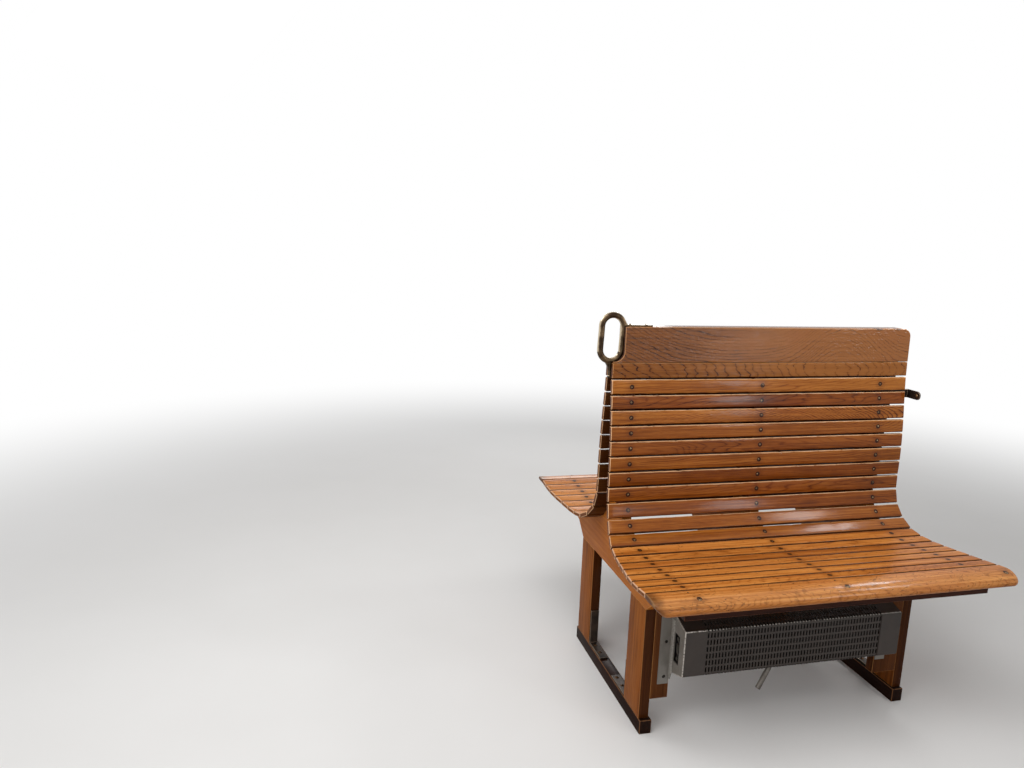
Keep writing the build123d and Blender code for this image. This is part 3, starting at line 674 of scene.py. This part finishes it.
def nosing(side, label, tone, pith):
    """The thick front board: its top rolls over to the front, its aisle end is pared thin from below and its
    wall end flares out; worn and knocked."""
    out = Boards()
    reach = NOSE_X[1] - NOSE_X[0]
    ends = [0.0, 0.35, 1.2, 2.4, 4.0, 6.0, 8.5, 11.5, 15.0, 19.0, 23.0, 28.0]
    at = ends + [reach - e for e in ends] + list(np.arange(36.0, reach - 32.0, 9.0))
    at = np.unique(np.round(at, 3))
    near = np.minimum(at, reach - at)
    seed = rng.random()

    def eased(r):
        return np.where(near < r, r - np.sqrt(np.maximum(r * r - (r - near) ** 2, 0)), 0.0)

    arris = eased(1.2)
    back = NOSE_Y[0] + arris
    front = NOSE_Y[1] - eased(22.0) - arris
    top = NOSE_Z[1] - arris
    pared = 24.0 * np.clip(1 - at / 30.0, 0, 1) ** 1.5
    low = NOSE_Z[0] + pared + arris
    belly = low + 0.33 * (top - low)
    roll = NOSE_Y[0] + 15.0
    tuck = np.minimum(12.0, 0.4 * (front - roll))
    # from the back over the top to the bottom: y, z and the edge value (wear and painted highlight on the
    # roll, painted shade at the back arris and underneath)
    rows = [(back + 1.5 + 1.5 * cos_deg(a), top - 1.5 + 1.5 * sin_deg(a), -sin_deg(2 * a - 180))
            for a in (180, 150, 120, 90)]
    rows += [(back + 1.5 + k * (roll - back - 1.5), top + 0, 0.0) for k in (0.3, 0.65, 1.0)]
    for a in (80, 70, 61, 52, 43, 34, 25, 16, 8, 0):
        c, s = cos_deg(a) ** 0.91, sin_deg(a) ** 0.91
        rows.append((roll + (front - roll) * c, belly + (top - belly) * s, 0.3 * sin_deg(2 * a)))
    for a in (20, 45, 70, 90):
        c, s = cos_deg(a), sin_deg(a)
        rows.append((front - tuck * (1 - c), belly - (belly - low) * s, -0.6 * s))
    rows += [(back + 0.5 * (front - tuck - back), low, -0.6), (back + 1.0, low, -0.6),
             (back, low + 1.0, -0.6)]
    y = np.stack([r[0] for r in rows], 1)
    z = np.stack([r[1] for r in rows], 1)
    wear = np.stack([r[2] + 0 * at for r in rows], 1)
    along = np.repeat((NOSE_X[0] + at)[:, None], len(rows), 1)
    upper = np.clip((z - low[:, None] - 6.0) / 14.0, 0, 1)
    z -= upper * (0.3 + wave(along + 3 * y, seed, 0.3, 310, 140, 83))
    y -= 0.3 + wave(along + 2 * z, seed + 1, 0.3, 420, 190, 77)
    y = np.maximum(y, NOSE_Y[0] - 0.4)
    for _ in range(34):
        cx, cy = rng.uniform(NOSE_X[0] + 8, NOSE_X[1] - 8), rng.uniform(418, 456)
        size, depth = rng.uniform(2.5, 9), rng.uniform(0.2, 0.6)
        bite = depth * np.exp(-((along - cx) ** 2 + (y - cy) ** 2) / size ** 2) * upper
        z -= bite
        y -= 0.4 * bite
    x = along + (at / reach)[:, None] ** 2 * NOSE_FLARE * (y - NOSE_Y[0])
    co = np.stack([x, side * y, z], -1)
    steps = np.hypot(np.diff(y, axis=1), np.diff(z, axis=1))
    girth = np.concatenate([np.zeros((len(at), 1)), np.cumsum(steps, 1)], 1)
    loc = np.stack([x, girth - 30.0, np.zeros_like(x)], -1)
    end = np.where(near < 1.0, 1.0, 0.0)[:, None] * np.ones_like(x)
    wear = np.where((near > 0.3)[:, None] & (near < 2.5)[:, None] & (wear > -0.5),
                    np.where(at < reach / 2, 1.8, 0.8)[:, None], wear)
    brd = np.stack([wear, end, np.full_like(x, tone)], -1)
    out.rings(co, loc, brd, np.array(pith))
    return out.make(f"board_nosing_{label}", NOSE_OAK, "nose_oak", f"nosing_{label}")


nosing(-1, "front", 0.1, (0.03, -0.06, 0.10))
nosing(1, "rear", 0.0, (-0.02, -0.05, 0.08))

# ---- Frames, rails, sills ----
for label, tone in (("aisle", 0.1), ("middle", -0.2), ("wall", -0.1)):
    softened(f"upright_{label}", f"rib_back_{label}", RED_OAK, 1.2, (0, 0, 1), (0, 1, 0), tone)
    softened(f"bearer_{label}", f"rib_seat_{label}", BEARER_OAK, 1.8, (0, 1, 0), (0, 0, 1), tone,
             pith=(0.01, -0.05, 0.02), moves=((296.0, 369.0, 277.0),))
softened("legs_aisle", "frame_legs_aisle", FRAME_OAK, 1.8, (0, 0, 1), (0, 1, 0), 0.0,
         pith=(0.02, -0.06, 0.05))
softened("legs_wall", "frame_legs_wall", FRAME_OAK, 1.8, (0, 0, 1), (0, 1, 0), -0.2,
         pith=(0.01, -0.05, 0.05))
softened("nose_rails", "rails_nosing", RAIL_WOOD, 1.2, (1, 0, 0), (0, 0, 1))
for label in ("aisle", "wall"):
    softened(f"sill_{label}", f"floor_sill_{label}", SILL_WOOD, 2.0, (0, 1, 0), (1, 0, 0))
    softened(f"foot_angles_{label}", f"angles_{label}", DARK_STEEL, 0.9, (0, 0, 1), (0, 1, 0))
softened("heater_blocks", "blocks_heater", BLOCK_OAK, 1.2, (0, 0, 1), (1, 0, 0))
softened("wall_bracket", "bracket_wall", DARK_STEEL, 0.7, (0, 0, 1), (0, 1, 0))

# ---- Handle ----
# in metres: the ring's middle (x, z), its bends' radius and half its straight part
RING_AT, RING_R, RING_STRAIGHT = (-0.428, 0.965), 0.030, 0.026
ROD_GAIN = 0.00115
RING_DROP, RING_LEAN = 0.0075, 0.0018

ring = placed("handle_ring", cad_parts["grab_handle"].data.copy())
remesh = ring.modifiers.new("remesh", "REMESH")
remesh.mode = "VOXEL"
remesh.voxel_size = 1.0 * MM
soft = ring.modifiers.new("smooth", "SMOOTH")
soft.factor = 0.5
soft.iterations = 7
bpy.context.view_layer.update()
made = bpy.data.meshes.new_from_object(ring.evaluated_get(bpy.context.evaluated_depsgraph_get()))
bpy.data.objects.remove(ring)
co = np.array([v.co for v in made.vertices])
no = np.array([v.normal for v in made.vertices])
# the rod is a little thicker than the solid's, inwards and sideways, so that the ring's outline stays
out_x = co[:, 0] - RING_AT[0]
rise = co[:, 2] - RING_AT[1]
bent_z = np.sign(rise) * np.maximum(np.abs(rise) - RING_STRAIGHT, 0)
from_line = np.maximum(np.hypot(out_x, bent_z), 1e-6)
outward = np.stack([out_x / from_line, 0 * rise, bent_z / from_line], -1)
off = np.hypot(from_line - RING_R, co[:, 1])
share = np.clip((0.0115 - off) / 0.003, 0, 1)[:, None]
co = co + ROD_GAIN * share * (no - outward)
# its lower end hangs a little lower and nearer the aisle than the solid's
lower = np.clip(np.minimum((0.990 - co[:, 2]) / 0.055, (co[:, 2] - 0.868) / 0.030), 0, 1)
lower = lower * lower * (3 - 2 * lower)
co[:, 2] -= RING_DROP * lower
co[:, 0] -= RING_LEAN * lower
made.vertices.foreach_set("co", co.astype(np.float32).ravel())
# painted reflection on the ring's inner and outer edges and painted highlight on the strap, strongest on its
# top; none where the rod faces front or back
on_ring = (co[:, 2] > 0.926) & (co[:, 0] < -0.388)
facing = np.clip(1.25 * np.abs(no[:, 0]) ** 2 + 1.25 * no[:, 2] ** 2 - 0.25, 0, 1)
painted_glint = np.where(on_ring, facing, np.where(no[:, 2] > 0.5, 0.9, 0.35) * facing)
point_data(made, brd=np.stack([painted_glint, 0 * painted_glint, 0 * painted_glint], -1))
finished("handle_ring", made, BRONZE, ("grab_handle",), sharp=80.0)

# ---- Screws ----
def screw_mesh(radius, rise, slot_half, sink=1.2):
    """A domed, slotted head: points (s across the slot, t along it, up) and faces."""
    co, faces = [], []
    slot_floor = 0.2 * rise - 0.3
    swing = [k / 3 for k in range(-3, 4)]

    def line(points):
        """Adds points and gives their numbers."""
        co.extend(points)
        return list(range(len(co) - len(points), len(co)))

    def strip(a, b):
        faces.extend((a[k], a[k + 1], b[k + 1], b[k]) for k in range(len(a) - 1))

    def along(s):
        reach = math.sqrt(radius ** 2 - s ** 2)
        return [reach * math.sin(math.pi / 2 * k) for k in swing]

    for sign in (-1, 1):
        rows = []
        for s in (slot_half, 0.35 * radius, 0.65 * radius, 0.88 * radius):
            rows.append(line([(sign * s, t, rise * (1 - (s * s + t * t) / radius ** 2)) for t in along(s)]))
        turn = math.acos(0.88)
        rim = line([(sign * radius * math.cos(turn * k), radius * math.sin(turn * k), 0.0) for k in swing])
        for a, b in zip(rows, rows[1:] + [rim]):
            strip(a, b)
        edge = [row[0] for row in rows] + rim + [row[-1] for row in reversed(rows)]
        strip(edge, line([(*co[i][:2], -sink) for i in edge]))
        strip(rows[0], line([(*co[i][:2], slot_floor) for i in rows[0]]))
    strip(*(line([(s, t, slot_floor) for t in along(s)]) for s in (-slot_half, slot_half)))
    return np.array(co), faces


class Screws:
    """Heads joined in one mesh, each turned by chance."""

    def __init__(self):
        self.co, self.faces, self.count = [], [], 0

    def add(self, at, normal, radius=2.9, rise=1.5):
        co, faces = screw_mesh(radius, rise, 0.14 * radius)
        n = Vector(normal).normalized()
        turn = n.to_track_quat("Z", "Y").to_matrix() @ Matrix.Rotation(rng.uniform(0, 3.14), 3, "Z")
        self.co.append(co @ np.array(turn).T + np.array(at))
        self.faces += [tuple(i + self.count for i in f) for f in faces]
        self.count += len(co)

    def make(self, name, material, slot):
        mesh = new_mesh(name, np.concatenate(self.co), self.faces)
        return finished(name, mesh, material, (), sharp=30.0)


for side, label in ((-1, "front"), (1, "rear")):
    heads, seat_heads = Screws(), Screws()
    back_lines = [(p, q) for p, q in zip(BACK_LINES[1:-1], BACK_LINES[2:])]
    for k, (p, q) in enumerate(back_lines + list(zip(SEAT_LINES[:-1], SEAT_LINES[1:]))):
        origin, ev, ew = slat_place(p, q, GAP, GAP, side)[:3]
        for column in SCREW_X:
            off = np.array((column + rng.uniform(-1.5, 1.5), 0, 0))
            at = origin + off + ev * rng.uniform(-1, 1) - ew * 0.45
            if k < len(back_lines):
                heads.add(at, ew)
            else:
                seat_heads.add(at - 0.3 * ew, ew, radius=3.0)
    for column in NOSE_SCREW_X:
        heads.add((column, side * 438.0, NOSE_Z[1] - 3.5), (0, side * 0.28, 0.96), radius=3.8, rise=1.5)
    for column in NOSE_SCREW_X[:2]:
        seat_heads.add((column - 14.0, side * 410.0, NOSE_Z[1] - 0.7), (0, 0, 1), radius=3.0)
    heads.make(f"screws_{label}", SCREW_STEEL, "handle_metal")
    seat_heads.make(f"screws_seat_{label}", SEAT_SCREW, "handle_metal")

frame_heads = Screws()
for y in (75.0, 115.0, -56.0, -95.0):
    for x in (-376.5, 366.0):
        frame_heads.add((x, y, 42.0), (0, 0, 1), radius=6.0, rise=2.6)
frame_heads.make("bolts_feet", SEAT_SCREW, "dark_steel")
fitting_heads = Screws()
for x in (-381.0, -337.0):
    fitting_heads.add((x, 0, 995.6), (0, 0, 1), radius=4.2, rise=2.4)
fitting_heads.add((471.0, -48.0, 808.0), (-1, 0, 0), radius=5.4, rise=2.0)
fitting_heads.make("screws_fittings", SCREW_STEEL, "handle_metal")
heater_heads = Screws()
for z in (148.0, 241.5):
    heater_heads.add((-331.0, -235.0, z), (0, -1, 0), radius=4.4, rise=2.6)
    heater_heads.add((297.5, -235.0, z), (0, -1, 0), radius=4.2, rise=1.8)
heater_heads.make("screws_heater", HEATER_SCREW, "heater_paint")

# ---- Heater ----
# in millimetres, like all below
HEAT_X = (-318.0, 283.0)
SHEET = 2.0
# the wrapped sheet's profile (y, z), from its low back edge round the front to the top back edge
PROFILE = [(-233.0, 160.0), (-303.0, 184.0), (-303.0, 301.0), (-233.0, 322.0)]
BACK_Y = (-235.0, -233.0)
FLANGE_WIDE = 29.0
FLANGE_Z = (128.0, 322.0)
PORT_Y = (-278.5, -252.0)
PORT_Z = (200.5, 275.5)
SLOT_PITCH = (8.4, 17.8)
SLOT_HALF = (2.0, 6.4)
# the sides of a cell: its corners there, and the way to the next cell
CELL_SIDES = (((0, 1), (0, -1)), ((1, 2), (1, 0)), ((2, 3), (0, 1)), ((3, 0), (-1, 0)))


def sheet_cells(xs, ss, solid, place, thick):
    """A sheet of cells between the lines xs and ss, with square-cut openings where solid() is false."""
    co, faces, index = [], [], {}

    def point(i, j, depth):
        key = (i, j, depth)
        if key not in index:
            index[key] = len(co)
            co.append(place(xs[i], ss[j], depth))
        return index[key]

    cells = [[solid((xs[i] + xs[i + 1]) / 2, (ss[j] + ss[j + 1]) / 2) for j in range(len(ss) - 1)]
             for i in range(len(xs) - 1)]

    def full(i, j):
        return 0 <= i < len(xs) - 1 and 0 <= j < len(ss) - 1 and cells[i][j]

    for i in range(len(xs) - 1):
        for j in range(len(ss) - 1):
            if not cells[i][j]:
                continue
            quad = [(i, j), (i + 1, j), (i + 1, j + 1), (i, j + 1)]
            faces.append([point(*q, 0.0) for q in quad])
            faces.append([point(*q, thick) for q in reversed(quad)])
            for (a, b), (di, dj) in CELL_SIDES:
                if not full(i + di, j + dj):
                    faces.append([point(*quad[b], 0.0), point(*quad[a], 0.0), point(*quad[a], thick),
                                  point(*quad[b], thick)])
    return co, faces


def sharp_bend(s):
    """A point of the wrapped sheet's sharp profile and the way into the box there."""
    left = s
    for k, (p, q) in enumerate(zip(PROFILE[:-1], PROFILE[1:])):
        run = math.dist(p, q)
        if left <= run + 1e-9 or k == len(PROFILE) - 2:
            break
        left -= run
    d = ((q[0] - p[0]) / run, (q[1] - p[1]) / run)
    return np.array((p[0] + d[0] * left, p[1] + d[1] * left, d[1], -d[0]))


def bent(s, depth):
    """A point of the wrapped sheet with rounded bends: s runs up along its outer profile."""
    spread = [sharp_bend(min(max(s + k, 0.0), whole_run)) for k in (-1.6, -0.8, 0.0, 0.8, 1.6)]
    y, z, into_y, into_z = sum(spread) / len(spread)
    size = math.hypot(into_y, into_z)
    return y + into_y / size * depth, z + into_z / size * depth


def painted(name, co, faces, material, nodes=(), wear=None):
    """A sheet metal piece; wear(point) says where its paint is gone and where a highlight is painted."""
    mesh = new_mesh(name, co, faces)
    brd = np.zeros((len(co), 3))
    if wear is not None:
        brd[:, 0] = [wear(p) for p in co]
    point_data(mesh, brd=brd)
    return finished(name, mesh, material, nodes, sharp=25.0)


low_run = math.dist(*PROFILE[:2])
front_run = math.dist(*PROFILE[1:3])
top_run = math.dist(*PROFILE[2:])
whole_run = low_run + front_run + top_run
bends = [b + d for b in (low_run, low_run + front_run) for d in (-2.4, -1.6, -0.8, 0.0, 0.8, 1.6, 2.4)]
mid_s = low_run + front_run / 2
mid_x = sum(HEAT_X) / 2
slot_x = [mid_x + SLOT_PITCH[0] * (k - 28.5) for k in range(58)]
# rows of slots: one at the lower bend, six on the front, the others on the top
slot_s = [mid_s + SLOT_PITCH[1] * (k - 2.5) + (1.4 if k < 0 else 0.0) for k in range(-1, 11)]
slot_s = [s for s in slot_s if s + 6 < whole_run - 8]
xs = sorted([HEAT_X[0], HEAT_X[0] + 1.2, HEAT_X[0] + 2.6, HEAT_X[1] - 1.5, HEAT_X[1]]
            + [x + d for x in slot_x for d in (-SLOT_HALF[0], SLOT_HALF[0])])
ss = sorted([0.0, whole_run] + bends + [s + d for s in slot_s for d in (-SLOT_HALF[1], SLOT_HALF[1])])


def not_slot(x, s):
    in_column = any(abs(x - c) < SLOT_HALF[0] for c in slot_x)
    return not (in_column and any(abs(s - c) < SLOT_HALF[1] for c in slot_s))


co, faces = sheet_cells(xs, ss, not_slot, lambda x, s, d: (x, *bent(s, d)), SHEET)


def cut_edge(p):
    """Bare metal along the front's aisle edge; along its upper bend worn paint and a painted highlight, less
    so beside the slots.
    """
    if p[0] < HEAT_X[0] + 2:
        return 2.2 if p[1] < -238 else 0.0
    rubbed_and_glint = 1.1 if p[0] < HEAT_X[0] + 70 else 0.55
    return rubbed_and_glint if math.dist(p[1:], PROFILE[2]) < 2.2 else 0.0


# the front under the seat in the darker copy of the paint: painted shade
painted("heater_front", co, faces, HEATER_SHADED, ("heater_grille",), cut_edge)

co, faces = [], []


def add_part(more_co, more_faces):
    base = len(co)
    co.extend(more_co)
    faces.extend([i + base for i in f] for f in more_faces)


def outline_z(y, upper):
    """Height of the wrapped sheet's profile at y, above or below."""
    front, back = (PROFILE[2], PROFILE[3]) if upper else (PROFILE[1], PROFILE[0])
    t = (y - front[0]) / (back[0] - front[0])
    return front[1] + (back[1] - front[1]) * t


def end_panel(x, inward, port):
    """One end of the box, with the opening where port is true."""
    ys = [-301.0, *PORT_Y, BACK_Y[0]]
    rows = [0.0, 1.0, 2.0, 3.0]

    def place(y, row, depth):
        z = (outline_z(y, False) + 2.1, *PORT_Z, outline_z(y, True) - 2.1)[int(row)]
        return (x + inward * depth, y, z)

    def solid(y, row):
        return not (port and PORT_Y[0] < y < PORT_Y[1] and 1 < row < 2)

    return sheet_cells(ys, rows, solid, place, SHEET)


add_part(*end_panel(HEAT_X[0], 1, True))
add_part(*end_panel(HEAT_X[1], -1, False))


def slab(x0, x1, y0, y1, z0, z1):
    """Points and faces of a box."""
    return ([(x, y, z) for x in (x0, x1) for y in (y0, y1) for z in (z0, z1)],
            [(0, 1, 3, 2), (4, 6, 7, 5), (0, 4, 5, 1), (2, 3, 7, 6), (0, 2, 6, 4), (1, 5, 7, 3)])


add_part(*slab(HEAT_X[0] - FLANGE_WIDE, HEAT_X[0], *BACK_Y, *FLANGE_Z))
add_part(*slab(HEAT_X[1], HEAT_X[1] + FLANGE_WIDE, *BACK_Y, *FLANGE_Z))
# the lip at the aisle end: its profile (y, z)
lip = [(-233.0, 144.0), (-243.0, 144.0), (-251.0, 165.0), (-251.0, 304.0), (-233.0, 304.0)]
add_part([(x, y, z) for x in (-319.7, -318.1) for y, z in lip],
         [(4, 3, 2, 1, 0), (5, 6, 7, 8, 9)] + [(k, (k + 1) % 5, 5 + (k + 1) % 5, 5 + k) for k in range(5)])
painted("heater_case", co, faces, HEATER_PAINT, ("heater_casing",),
        lambda p: 0.8 if abs(p[1] + 251.0) < 0.5 and p[0] < -319 else 0.0)
# the end cap in the darker copy of the paint: painted shade
painted("heater_cap", *slab(226.0, 284.4, -304.3, -302.9, 186.0, 299.0), HEATER_SHADED)
# the clips inside the opening: their lower and upper z
co, faces = [], []
for low, high in ((257.0, 266.0), (224.0, 250.0), (207.0, 214.0)):
    add_part(*slab(-315.0, -304.0, -268.0, -260.0, low, high))
    add_part(*slab(-314.0, -309.0, -261.0, -257.0, low + 1.5, high - 2.5))
painted("heater_clips", co, faces, CLIP_STEEL)
painted("heater_back", *slab(HEAT_X[0] + 2.0, HEAT_X[1] - 2.0, *BACK_Y, 162.0, 320.0), HEATER_DARK)

for node in ("heater_element", "heater_terminal"):
    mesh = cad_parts[node].data
    mesh.materials.clear()
    mesh.materials.append(HEATER_DARK)
# the tube below is the solid's, thickened about its own line
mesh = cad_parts["heater_stub"].data.copy()
co = np.array([v.co for v in mesh.vertices])
middle = (co.max(0) + co.min(0)) / 2
line = np.linalg.svd(co - middle)[2][0]
along = ((co - middle) @ line)[:, None] * line
co = middle + along + 1.45 * (co - middle - along)
mesh.vertices.foreach_set("co", co.astype(np.float32).ravel())
point_data(mesh, brd=np.zeros_like(co))
finished("tube_stub", mesh, TUBE_STEEL, ("heater_stub",))

# ---- Floor, light, camera ----
def white_level(s, light):
    """1 for what the camera, mirrors and glass see of the backdrop, light for what it sheds."""
    rays = [s.read("ShaderNodeLightPath", f"Is {kind} Ray") for kind in ("Camera", "Glossy", "Transmission")]
    seen = s.math("MAXIMUM", rays[0], s.math("MAXIMUM", rays[1], rays[2]))
    return seen * (1 - light) + light


def floor():
    s = Shader(bpy.data.materials.new("floor_pale"))
    at = s.read("ShaderNodeTexCoord", "Object")
    away = s.step(s.vec("LENGTH", at), 1.6, 4.6)
    grey = s.mix(s.noise(at, 3.0, 3.0), (0.80, 0.79, 0.775), (0.84, 0.83, 0.82))
    diffuse = s.read("ShaderNodeBsdfDiffuse", "BSDF", {"Color": grey, "Roughness": 0.6})
    glow = s.read("ShaderNodeEmission", "Emission",
                  {"Color": (1.0, 1.0, 1.0), "Strength": white_level(s, 0.55)})
    s.put(s.end, s.read("ShaderNodeMixShader", 0, {0: away, 1: diffuse, 2: glow}))
    mesh = bpy.data.meshes.new("floor")
    mesh.from_pydata([(-14, -14, 0), (14, -14, 0), (14, 14, 0), (-14, 14, 0)], [], [(0, 1, 2, 3)])
    mesh.materials.append(s.block)
    placed("floor", mesh)


floor()
studio = Shader(bpy.data.worlds.new("studio"), "ShaderNodeOutputWorld")
studio.put(studio.end, studio.read("ShaderNodeBackground", "Background",
                                   {"Color": (1.0, 1.0, 1.0), "Strength": white_level(studio, 0.35)}))
bpy.context.scene.world = studio.block


def lamp(name, at, to, width, height, power, seen=True):
    data = bpy.data.lights.new(name, "AREA")
    data.shape = "RECTANGLE"
    data.size = width
    data.size_y = height
    data.energy = power
    obj = placed(name, data)
    obj.location = at
    obj.rotation_euler = (Vector(to) - Vector(at)).to_track_quat("-Z", "Y").to_euler()
    obj.visible_camera = seen


# windows behind the photo's highlights: y, z, width and height, all at one x
WINDOW_X = 0.76
WINDOWS = ((-2.87, 1.29, 0.4, 0.3), (-1.47, 0.90, 0.36, 0.24), (-0.54, 1.32, 0.20, 0.28),
           (0.03, 1.24, 0.20, 0.28))
for k, (y, z, wide, high) in enumerate(WINDOWS):
    lamp(f"window_{k}", (WINDOW_X, y, z), (0.0, y, z), wide, high, 3.4, seen=False)
lamp("window_rear", (0.35, 2.4, 1.2), (-0.3, 0.3, 0.45), 0.9, 0.5, 8, seen=False)
lamp("ceiling", (-0.9, -1.0, 2.4), (0.0, -0.1, 0.4), 1.8, 1.4, 26)
lamp("fill_left", (-2.2, -0.9, 1.2), (0.0, 0.0, 0.5), 1.6, 1.4, 9)
lamp("fill_rear", (-1.5, 0.9, 1.9), (-0.3, 0.3, 0.45), 0.9, 0.7, 8)

# the photo's camera, solved from its straight lines: place in metres, angles in radians
CAM_AT = (-1.1484, -1.8200, 1.2022)
YAW, PITCH, ROLL = 0.248843, 0.188125, 0.036398
forward = Vector((math.sin(YAW) * math.cos(PITCH), math.cos(YAW) * math.cos(PITCH), -math.sin(PITCH)))
level_right = Vector((math.cos(YAW), -math.sin(YAW), 0.0))
level_up = level_right.cross(forward)
right = math.cos(ROLL) * level_right + math.sin(ROLL) * level_up
up = -math.sin(ROLL) * level_right + math.cos(ROLL) * level_up
camera_data = bpy.data.cameras.new("camera")
camera_data.sensor_width = 36.0
camera_data.lens = 27.0
camera_data.clip_start = 0.01
camera = placed("camera", camera_data)
turn = Matrix((right, up, -forward)).transposed()
camera.matrix_world = Matrix.Translation(CAM_AT) @ turn.to_4x4()
bpy.context.scene.camera = camera
bpy.context.scene.view_settings.view_transform = "Standard"
